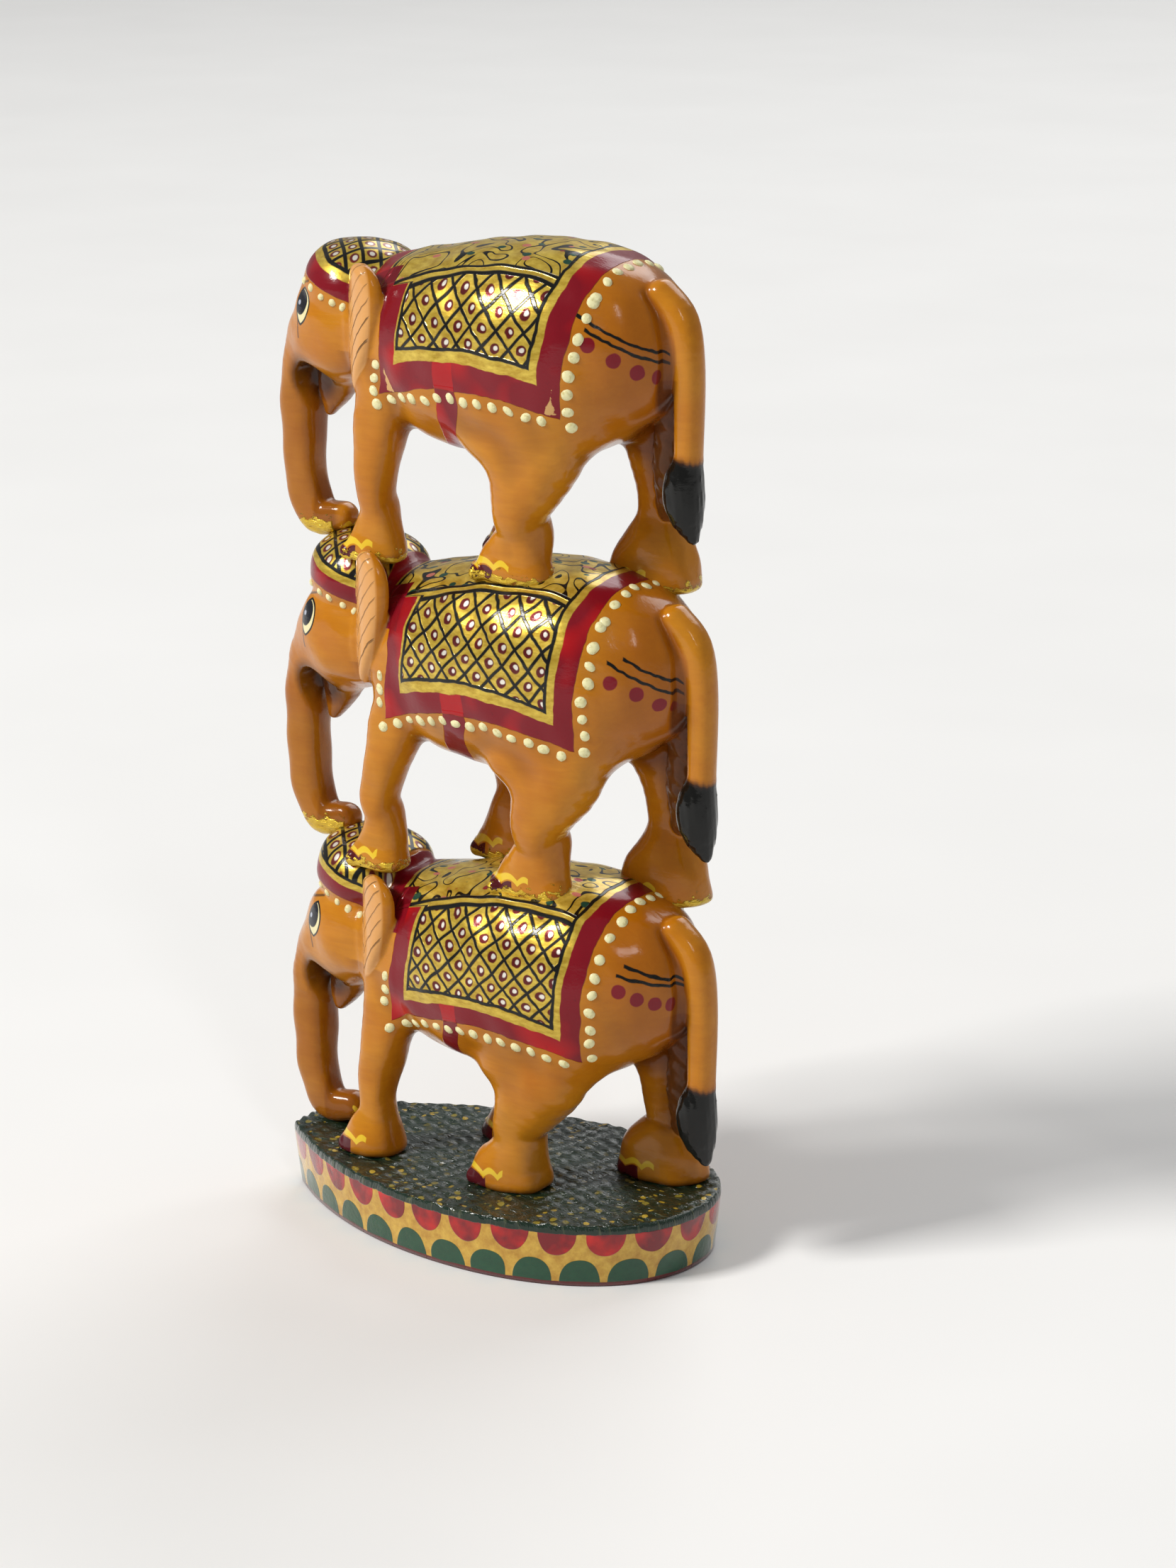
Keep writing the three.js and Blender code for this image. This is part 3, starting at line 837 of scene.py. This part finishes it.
def plinth_paint():
    g = Paint("plinth_paint")
    along, up = g.value("along"), g.value("up")
    wander = (g.noise(7, 1) - 0.5) * 1.4
    worn = g.noise(2.2, 4, 0.65)
    s, t = along + wander, up + wander * 0.35
    ochre = g.mix((worn * 2 - 0.6).max(0).min(1), srgb(176, 128, 44), srgb(222, 184, 78))
    pitch = 9.8
    fu = (s / pitch).fract() - 0.5
    fd = (s / pitch + 0.5).fract() - 0.5
    reach_up = (11.3 - t) / 5.0
    red_in = 0.98 - (fu * fu * 4.7 + fu * fu * fu * fu * 6 + reach_up * reach_up).root()
    reach_down = (t - 0.9) / 4.7
    green_in = 0.98 - (fd * fd * 4.2 + fd * fd * fd * fd * 6 + reach_down * reach_down).root()
    reds = g.mix((g.noise(4.5, 2) * 3 - 1.2).max(0).min(1), srgb(120, 20, 28), srgb(200, 30, 26))
    colour = g.mix((red_in * 5).on(), ochre, reds)
    greens = g.mix(worn, srgb(16, 58, 40), srgb(34, 84, 56))
    colour = g.mix((green_in * 5).on(), colour, greens)
    colour = g.mix((0.8 - t).on(), colour, srgb(96, 26, 26))

    # Top: dark green with ochre dabs, and pale streaks painted on as glints of light, with a small
    # bump from the same streaks.
    over = (g.value("top") + (worn - 0.5) * 1.2 + (g.noise(3.4, 1) - 0.5)).on(0.25)
    dark = g.mix(worn, srgb(8, 26, 18), srgb(26, 50, 34))
    for size, tilt, tone in ((1.9, 0.35, srgb(186, 156, 48)), (2.6, -0.5, srgb(142, 128, 44))):
        far, pick = g.cells(size, g.vector(g.x * 0.75 + g.y * tilt, g.y * 0.9 - g.x * tilt, size))
        dab = (0.27 - far).on(0.08) * (pick - 0.45).on(0.1) * (g.value("top") - 0.9).on(0.2)
        dark = g.mix(dab * (g.value("rim") + 0.2).min(1) * 0.95, dark, tone)
    glint_streaks = g.noise(0.9, 3, 0.6, g.vector(g.x * 0.28 + g.y * 0.1, g.y * 1.3))
    # Painted highlight: pale glint streaks on the glossy top.
    dark = g.mix((glint_streaks * 6 - 3.5).max(0).min(1) * 0.35, dark, srgb(150, 150, 110))
    colour = g.mix(over, colour, dark)
    height = (red_in * 5).on() * 0.08 + (green_in * 5).on() * 0.08
    height = height + worn * 0.12 + over * glint_streaks * 0.5
    return g.finish(colour, worn * 0.2 + 0.1, height, coat=0.9)


def dot_paint():
    g = Paint("cream_dots")
    speck = g.noise(0.8, 3, 0.6)
    colour = g.mix((speck * 3 - 1.5).max(0).min(1), srgb(232, 226, 176), srgb(186, 170, 104))
    return g.finish(colour, speck * 0.2 + 0.3, speck * 0.1, coat=0.2)


# ---------------------------------------------------------------- pieces


def mark_regions(mesh, p, field, look):
    """Attributes that are above nought, in millimetres, on one part of the carving each."""
    body = field.sample(field.bare, p)
    parts = {part: field.sample(own, p) for part, own in field.parts.items()}
    for part, own in parts.items():
        others = [body] + [value for key, value in parts.items() if key != part]
        attribute(mesh, part, np.minimum.reduce(others) - own)
    attribute(mesh, "tail_gap", np.minimum(parts["tail"], parts["tuft"]))
    away = np.minimum.reduce(list(parts.values()))
    s = look["stretch"]
    neck = p[:, 0] + 20.5 * s + 0.06 * (p[:, 2] - 50)
    attribute(mesh, "head", np.minimum(-neck, away - body))
    torso_only = [neck, away - body, 43 * s - p[:, 0], p[:, 2] - 14]
    attribute(mesh, "torso", np.minimum.reduce(torso_only))


def mark_shade_and_feet(mesh, p, field, feet, look):
    """How enclosed the surface is, near and far, and its place about the nearest foot."""
    s = look["stretch"]
    # Enclosure, near and wide, sets the painted shade in hollows, between the legs and under the
    # belly.
    solid = (field.d < 0).astype(np.float32)
    cells = max(1, round(2.2 / STEP))
    attribute(mesh, "hollow", np.clip(field.sample(box_blur(solid, cells), p) - 0.5, 0, 0.5))
    wide = field.sample(box_blur(solid, round(5.5 / STEP)), p)
    attribute(mesh, "enclosed_shade", np.clip(wide - 0.44, 0, 0.5) * (p[:, 2] < 40))
    feet = np.array(feet)
    nearest = ((p[:, :1] - feet[:, 0]) ** 2 + (p[:, 1:2] - feet[:, 1]) ** 2).argmin(1)
    attribute(mesh, "toe", np.where(p[:, 0] > -36 * s, feet[nearest, 0] - p[:, 0], -20))
    attribute(mesh, "low", np.where(p[:, 0] > -36 * s, p[:, 2] - feet[nearest, 2], 20))


def make_elephant(name, look):
    field, feet = carve_elephant(look)
    mesh, p = field_mesh(f"{name}_elephant", field)
    mark_regions(mesh, p, field, look)
    mark_shade_and_feet(mesh, p, field, feet, look)
    mesh.materials.append(elephant_paint(f"{name}_paint", look))
    o = place(f"{name}_elephant", mesh, ((SHIFT + look["nudge"]) * MM, 0, look["level"] * MM))
    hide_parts(*(f"{name}_{n}" for n in
                     ("body_and_legs", "head_and_trunk", "left_ear", "right_ear", "tail")))
    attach(o, "root")
    return o


def dot_path(look):
    """Places of the raised dots on the near side, as (x, z) on the flank, (x, y) on the back."""
    cloth = look["cloth"]
    flank, back = [], []
    for z in (39.4, 36.6, 33.8):
        flank.append((cloth["front"] + (z - 35) * cloth["front_lean"] - 1.6, z))
    x = cloth["front"] - 1.0
    while x < cloth["rear"] - 1:
        z = cloth["bottom"] - cloth["sag"] * (x - cloth["middle"]) ** 2 - 1.8
        flank.append((x, z))
        x += 3.4
    for z in np.arange(31.5, 58.5, 3.45):
        flank.append((cloth["rear"] + (z - 35) * cloth["rear_lean"] + 1.6, z))
    for y in (12, 8.6, 5.2, 1.7):
        back.append((cloth["rear"] + 23.5 * cloth["rear_lean"] + 1.6, y))
    level, slope = look["cap"]
    for x in (-38.2, -35.2, -32.2, -29.4, -26.9):
        flank.append((x * look["stretch"], level - (x + 34) * look["stretch"] * slope))
    return flank, back


def make_dots(name, look, elephant, paint):
    """Every raised dot of an elephant as one mesh of flattened drops set on its surface."""
    rng = np.random.default_rng(look["seed"])
    tree = BVHTree.FromPolygons([v.co for v in elephant.data.vertices],
                                [tuple(f.vertices) for f in elephant.data.polygons])
    flank, back = dot_path(look)
    rays = []
    for side in (-1, 1):
        rays += [(Vector((x, side * 40, z)), Vector((0, -side, 0))) for x, z in flank]
        rays += [(Vector((x, side * y, 90)), Vector((0, 0, -1))) for x, y in back]
    bm = bmesh.new()
    for start, way in rays:
        start = start + Vector((rng.normal(0, 0.18), 0, rng.normal(0, 0.18)))
        hit, normal, _, _ = tree.ray_cast(start * MM, way)
        if hit is None or abs(hit.y) > 0.024:
            continue
        small = 0.72 if hit.x < -0.026 else 1
        wide, tall = rng.normal(1.22, 0.1) * small, rng.normal(1.1, 0.12) * small
        turn = normal.to_track_quat("Z", "Y").to_matrix().to_4x4()
        turn = Matrix.Translation(hit - normal * 0.15 * MM) @ turn
        spin = Matrix.Rotation(rng.uniform(0, 3.1), 4, "Z")
        size = Matrix.Diagonal((wide * MM, tall * MM, 0.62 * MM, 1))
        bmesh.ops.create_icosphere(bm, subdivisions=2, radius=1, matrix=turn @ spin @ size)
    for v in bm.verts:
        v.co += Vector(rng.normal(0, 0.025, 3)) * MM
    mesh = bpy.data.meshes.new(f"{name}_dots")
    bm.to_mesh(mesh)
    bm.free()
    for polygon in mesh.polygons:
        polygon.use_smooth = True
    mesh.materials.append(paint)
    o = place(f"{name}_dots", mesh, elephant.location)
    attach(o, "root")


def plinth_outline(count):
    """Even points along the plinth's plan outline, with the distance round it."""
    front, rear, wide, bow, widest = -49, 46.8, 27.5, 6.5, 8
    curves = np.array((
        ((front, -bow), (front + 11, -16), (widest - 26, -wide), (widest, -wide)),
        ((widest, -wide), (widest + 19, -wide), (rear, -19), (rear, 0)),
        ((rear, 0), (rear, 19), (widest + 19, wide), (widest, wide)),
        ((widest, wide), (widest - 26, wide), (front + 11, 16), (front, bow)),
        ((front, bow), (front - 1, 2.2), (front - 1, -2.2), (front, -bow))), float)
    t = np.linspace(0, 1, 200, endpoint=False)[:, None]
    p = np.concatenate([(1 - t) ** 3 * c[0] + 3 * t * (1 - t) ** 2 * c[1]
                        + 3 * t * t * (1 - t) * c[2] + t ** 3 * c[3] for c in curves])
    p = np.vstack([p, p[:1]])
    walked = np.concatenate([[0], np.cumsum(np.linalg.norm(np.diff(p, axis=0), axis=1))])
    at = np.linspace(0, walked[-1], count, endpoint=False)
    return np.stack([np.interp(at, walked, p[:, i]) for i in (0, 1)], 1), at


def make_plinth():
    count = 620
    ring, at = plinth_outline(count)
    rows = []           # (scale of the outline, height, how far on to the top)
    for h in np.linspace(0, 11.0, 15):
        rows.append((0.972 + 0.035 * h / PLINTH_HEIGHT, h, -1.5 if h < 10.4 else 0.1))
    for turn in np.radians((20, 45, 70, 90)):
        rows.append((0.99 + 0.012 * math.cos(turn), 11.0 + 1.6 * math.sin(turn), 0.8))
    for inset in np.linspace(0.97, 0.02, 70):
        rows.append((inset, 12.6 + 0.15 * (1 - inset), 2.0))
    points, along, up, top, rim = [], [], [], [], []
    for scale, h, on_top in rows:
        p = ring * scale
        height = np.full(count, float(h))
        if on_top > 0.5:
            x, y = p.T
            peck = (np.sin(1.15 * x + 0.7 * y) * np.sin(1.3 * y - 0.45 * x + np.sin(0.5 * x))
                    + 0.6 * np.sin(2.3 * y + 0.9 * np.sin(0.9 * x)) * np.sin(0.8 * x))
            height += 0.2 * peck
        points.append(np.column_stack([p, height]))
        along.append(at)
        up.append(height)
        top.append(np.full(count, on_top))
        rim.append(np.full(count, 1.0 if scale > 0.83 else max(0.0, (scale - 0.55) / 0.28)))
    v = np.concatenate(points)
    faces = []
    for j in range(len(rows) - 1):
        for i in range(count):
            k = (i + 1) % count
            faces.append((j * count + i, j * count + k, (j + 1) * count + k, (j + 1) * count + i))
    faces.append(tuple(range((len(rows) - 1) * count, len(rows) * count)))
    faces.append(tuple(reversed(range(count))))
    mesh = bpy.data.meshes.new("plinth_carved")
    mesh.from_pydata((v * MM).tolist(), [], faces)
    for polygon in mesh.polygons[:-1]:
        polygon.use_smooth = True
    for key, value in (("along", along), ("up", up), ("top", top), ("rim", rim)):
        attribute(mesh, key, np.concatenate(value))
    mesh.materials.append(plinth_paint())
    o = place("plinth_carved", mesh, (SHIFT * MM, 0, 0))
    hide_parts("plinth")
    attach(o, "root")


cream_dots = dot_paint()
make_plinth()
for key, elephant_look in ELEPHANTS.items():
    made = make_elephant(key, elephant_look)
    make_dots(key, elephant_look, made, cream_dots)


# ---------------------------------------------------------------- stage, light and camera


def area(name, at, size, power, colour=(1, 1, 1), target=(0, 0, 0.1)):
    data = bpy.data.lights.new(name, "AREA")
    data.shape, data.size, data.size_y = "RECTANGLE", size[0], size[1]
    data.energy, data.color = power, colour
    o = bpy.data.objects.new(name, data)
    bpy.context.scene.collection.objects.link(o)
    o.location = at
    o.rotation_euler = (Vector(target) - Vector(at)).to_track_quat("-Z", "Y").to_euler()


def make_stage():
    mesh = bpy.data.meshes.new("floor")
    r = 3.0
    mesh.from_pydata([(-r, -r, -0.0002), (r, -r, -0.0002), (r, r, -0.0002), (-r, r, -0.0002)], [],
                     [(0, 1, 2, 3)])
    g = Paint("floor_paint")
    tone = g.mix(g.noise(90, 2), srgb(236, 236, 235), srgb(242, 242, 241))
    mesh.materials.append(g.finish(tone, 0.6, coat=0.0))
    place("floor", mesh)
    world = bpy.data.worlds.new("studio")
    world.use_nodes = True
    back = world.node_tree.nodes["Background"]
    back.inputs[0].default_value = (1, 1, 1, 1)
    back.inputs[1].default_value = 0.27
    bpy.context.scene.world = world
    area("key", (-1.4, -2.0, 2.2), (0.9, 0.66), 90, (1, 0.98, 0.95))
    area("window", (1.65, -1.35, 1.6), (0.24, 0.75), 6, (0.95, 0.98, 1))
    area("rear", (-0.2, 2.0, 1.8), (2.0, 1.2), 26)
    bpy.context.scene.view_settings.view_transform = "Standard"


def make_camera():
    """The viewpoint: 36 degrees to the elephants' left rear, 16 degrees up, 0.9 m away."""
    turn, lift, roll, away = math.radians(36), math.radians(16), math.radians(1), 0.9
    d = Vector((math.sin(turn) * math.cos(lift), -math.cos(turn) * math.cos(lift), math.sin(lift)))
    r = Vector((math.cos(turn), math.sin(turn), 0))
    u = d.cross(r)
    right = r * math.cos(roll) - u * math.sin(roll)
    upward = u * math.cos(roll) + r * math.sin(roll)
    data = bpy.data.cameras.new("camera")
    data.sensor_fit, data.sensor_height, data.lens = "VERTICAL", 36, 105.46
    data.shift_x, data.shift_y = 0.0567, -0.0271
    o = bpy.data.objects.new("camera", data)
    bpy.context.scene.collection.objects.link(o)
    o.matrix_world = Matrix((right, upward, d)).transposed().to_4x4()
    o.location = Vector((SHIFT * MM, 0, 0.1)) + d * away
    bpy.context.scene.camera = o


make_stage()
make_camera()
